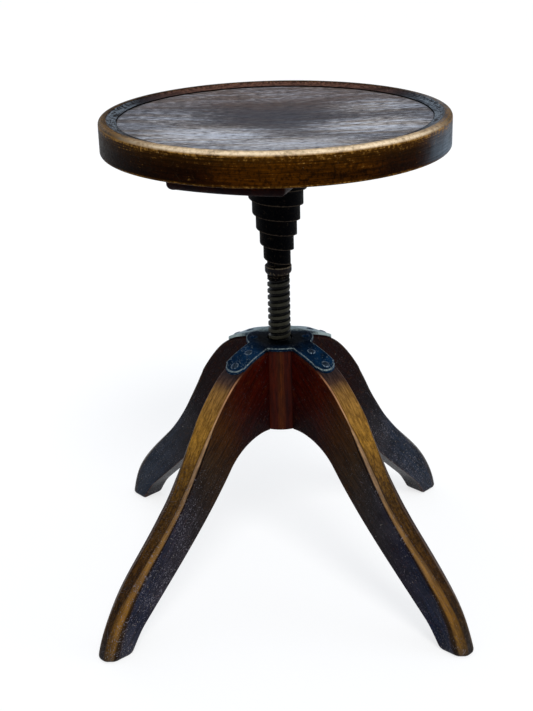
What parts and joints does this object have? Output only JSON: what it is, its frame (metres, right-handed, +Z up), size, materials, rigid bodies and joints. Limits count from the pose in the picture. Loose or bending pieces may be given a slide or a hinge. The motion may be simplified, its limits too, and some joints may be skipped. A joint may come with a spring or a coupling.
{
  "type": "adjustable stool",
  "caption": "Round wooden stool seat on a lifting screw with a volute spring, over a post and splayed curved legs held by an iron plate.",
  "frame": {"origin": "on the floor, under the screw's axis", "axes": "+Z up along the screw, -Y to the front"},
  "size_m": [0.3798, 0.3798, 0.5126],
  "materials": {
    "leg_wood": "worn brown stain",
    "post_wood": "red-brown varnish",
    "dowel_wood": "bare",
    "hoop_wood": "worn varnish",
    "panel_wood": "worn varnish",
    "bearer_wood": "dark stain",
    "iron": "worn blue-black",
    "steel": "dull and oiled",
    "spring_steel": "blackened"
  },
  "bodies": {
    "base": {"leg_back_right": "leg_wood", "leg_back_left": "leg_wood", "leg_front_left": "leg_wood", "leg_front_right": "leg_wood", "hub_post": "post_wood", "dowel_back_right_lower": "dowel_wood", "dowel_back_right_upper": "dowel_wood", "dowel_back_left_lower": "dowel_wood", "dowel_back_left_upper": "dowel_wood", "dowel_front_left_lower": "dowel_wood", "dowel_front_left_upper": "dowel_wood", "dowel_front_right_lower": "dowel_wood", "dowel_front_right_upper": "dowel_wood", "spider_plate": "iron", "arm_screw_back_right_inner": "steel", "arm_screw_back_right_outer": "steel", "arm_screw_back_left_inner": "steel", "arm_screw_back_left_outer": "steel", "arm_screw_front_left_inner": "steel", "arm_screw_front_left_outer": "steel", "arm_screw_front_right_inner": "steel", "arm_screw_front_right_outer": "steel", "hub_screw_1": "steel", "hub_screw_2": "steel", "spindle_nut": "iron"},
    "lift": {"thrust_washer": "steel"},
    "screw": {"spindle": "steel", "spring_collar": "iron", "volute_spring": "spring_steel", "stop_washer": "steel", "stop_screw": "steel", "drive_pin": "steel"},
    "seat": {"seat_guide": "iron", "guide_screw_1": "steel", "guide_screw_2": "steel", "guide_screw_3": "steel", "guide_screw_4": "steel", "bearer_board": "bearer_wood", "bearer_screw_1": "steel", "bearer_screw_2": "steel", "bearer_screw_3": "steel", "bearer_screw_4": "steel", "seat_panel": "panel_wood", "seat_hoop": "hoop_wood"}
  },
  "joints": [
    {"name": "spindle_lift", "type": "slide", "parent": "base", "child": "lift", "axis": [0, 0, 1], "range_m": [-0.0648, 0.0432]},
    {"name": "spindle_turn", "type": "hinge", "parent": "lift", "child": "screw", "pos_m": [0, 0, 0.28], "axis": [0, 0, 1], "range_deg": [-3240, 2160]},
    {"name": "seat_spring", "type": "slide", "parent": "screw", "child": "seat", "axis": [0, 0, 1], "range_m": [-0.025, 0], "stiffness_N_per_m": 40000, "springref_m": 0.003, "deforming": ["volute_spring"]}
  ],
  "couplings": [
    {"joint": "spindle_lift", "follows": "spindle_turn", "m_per_rad": 0.0011459}
  ]
}
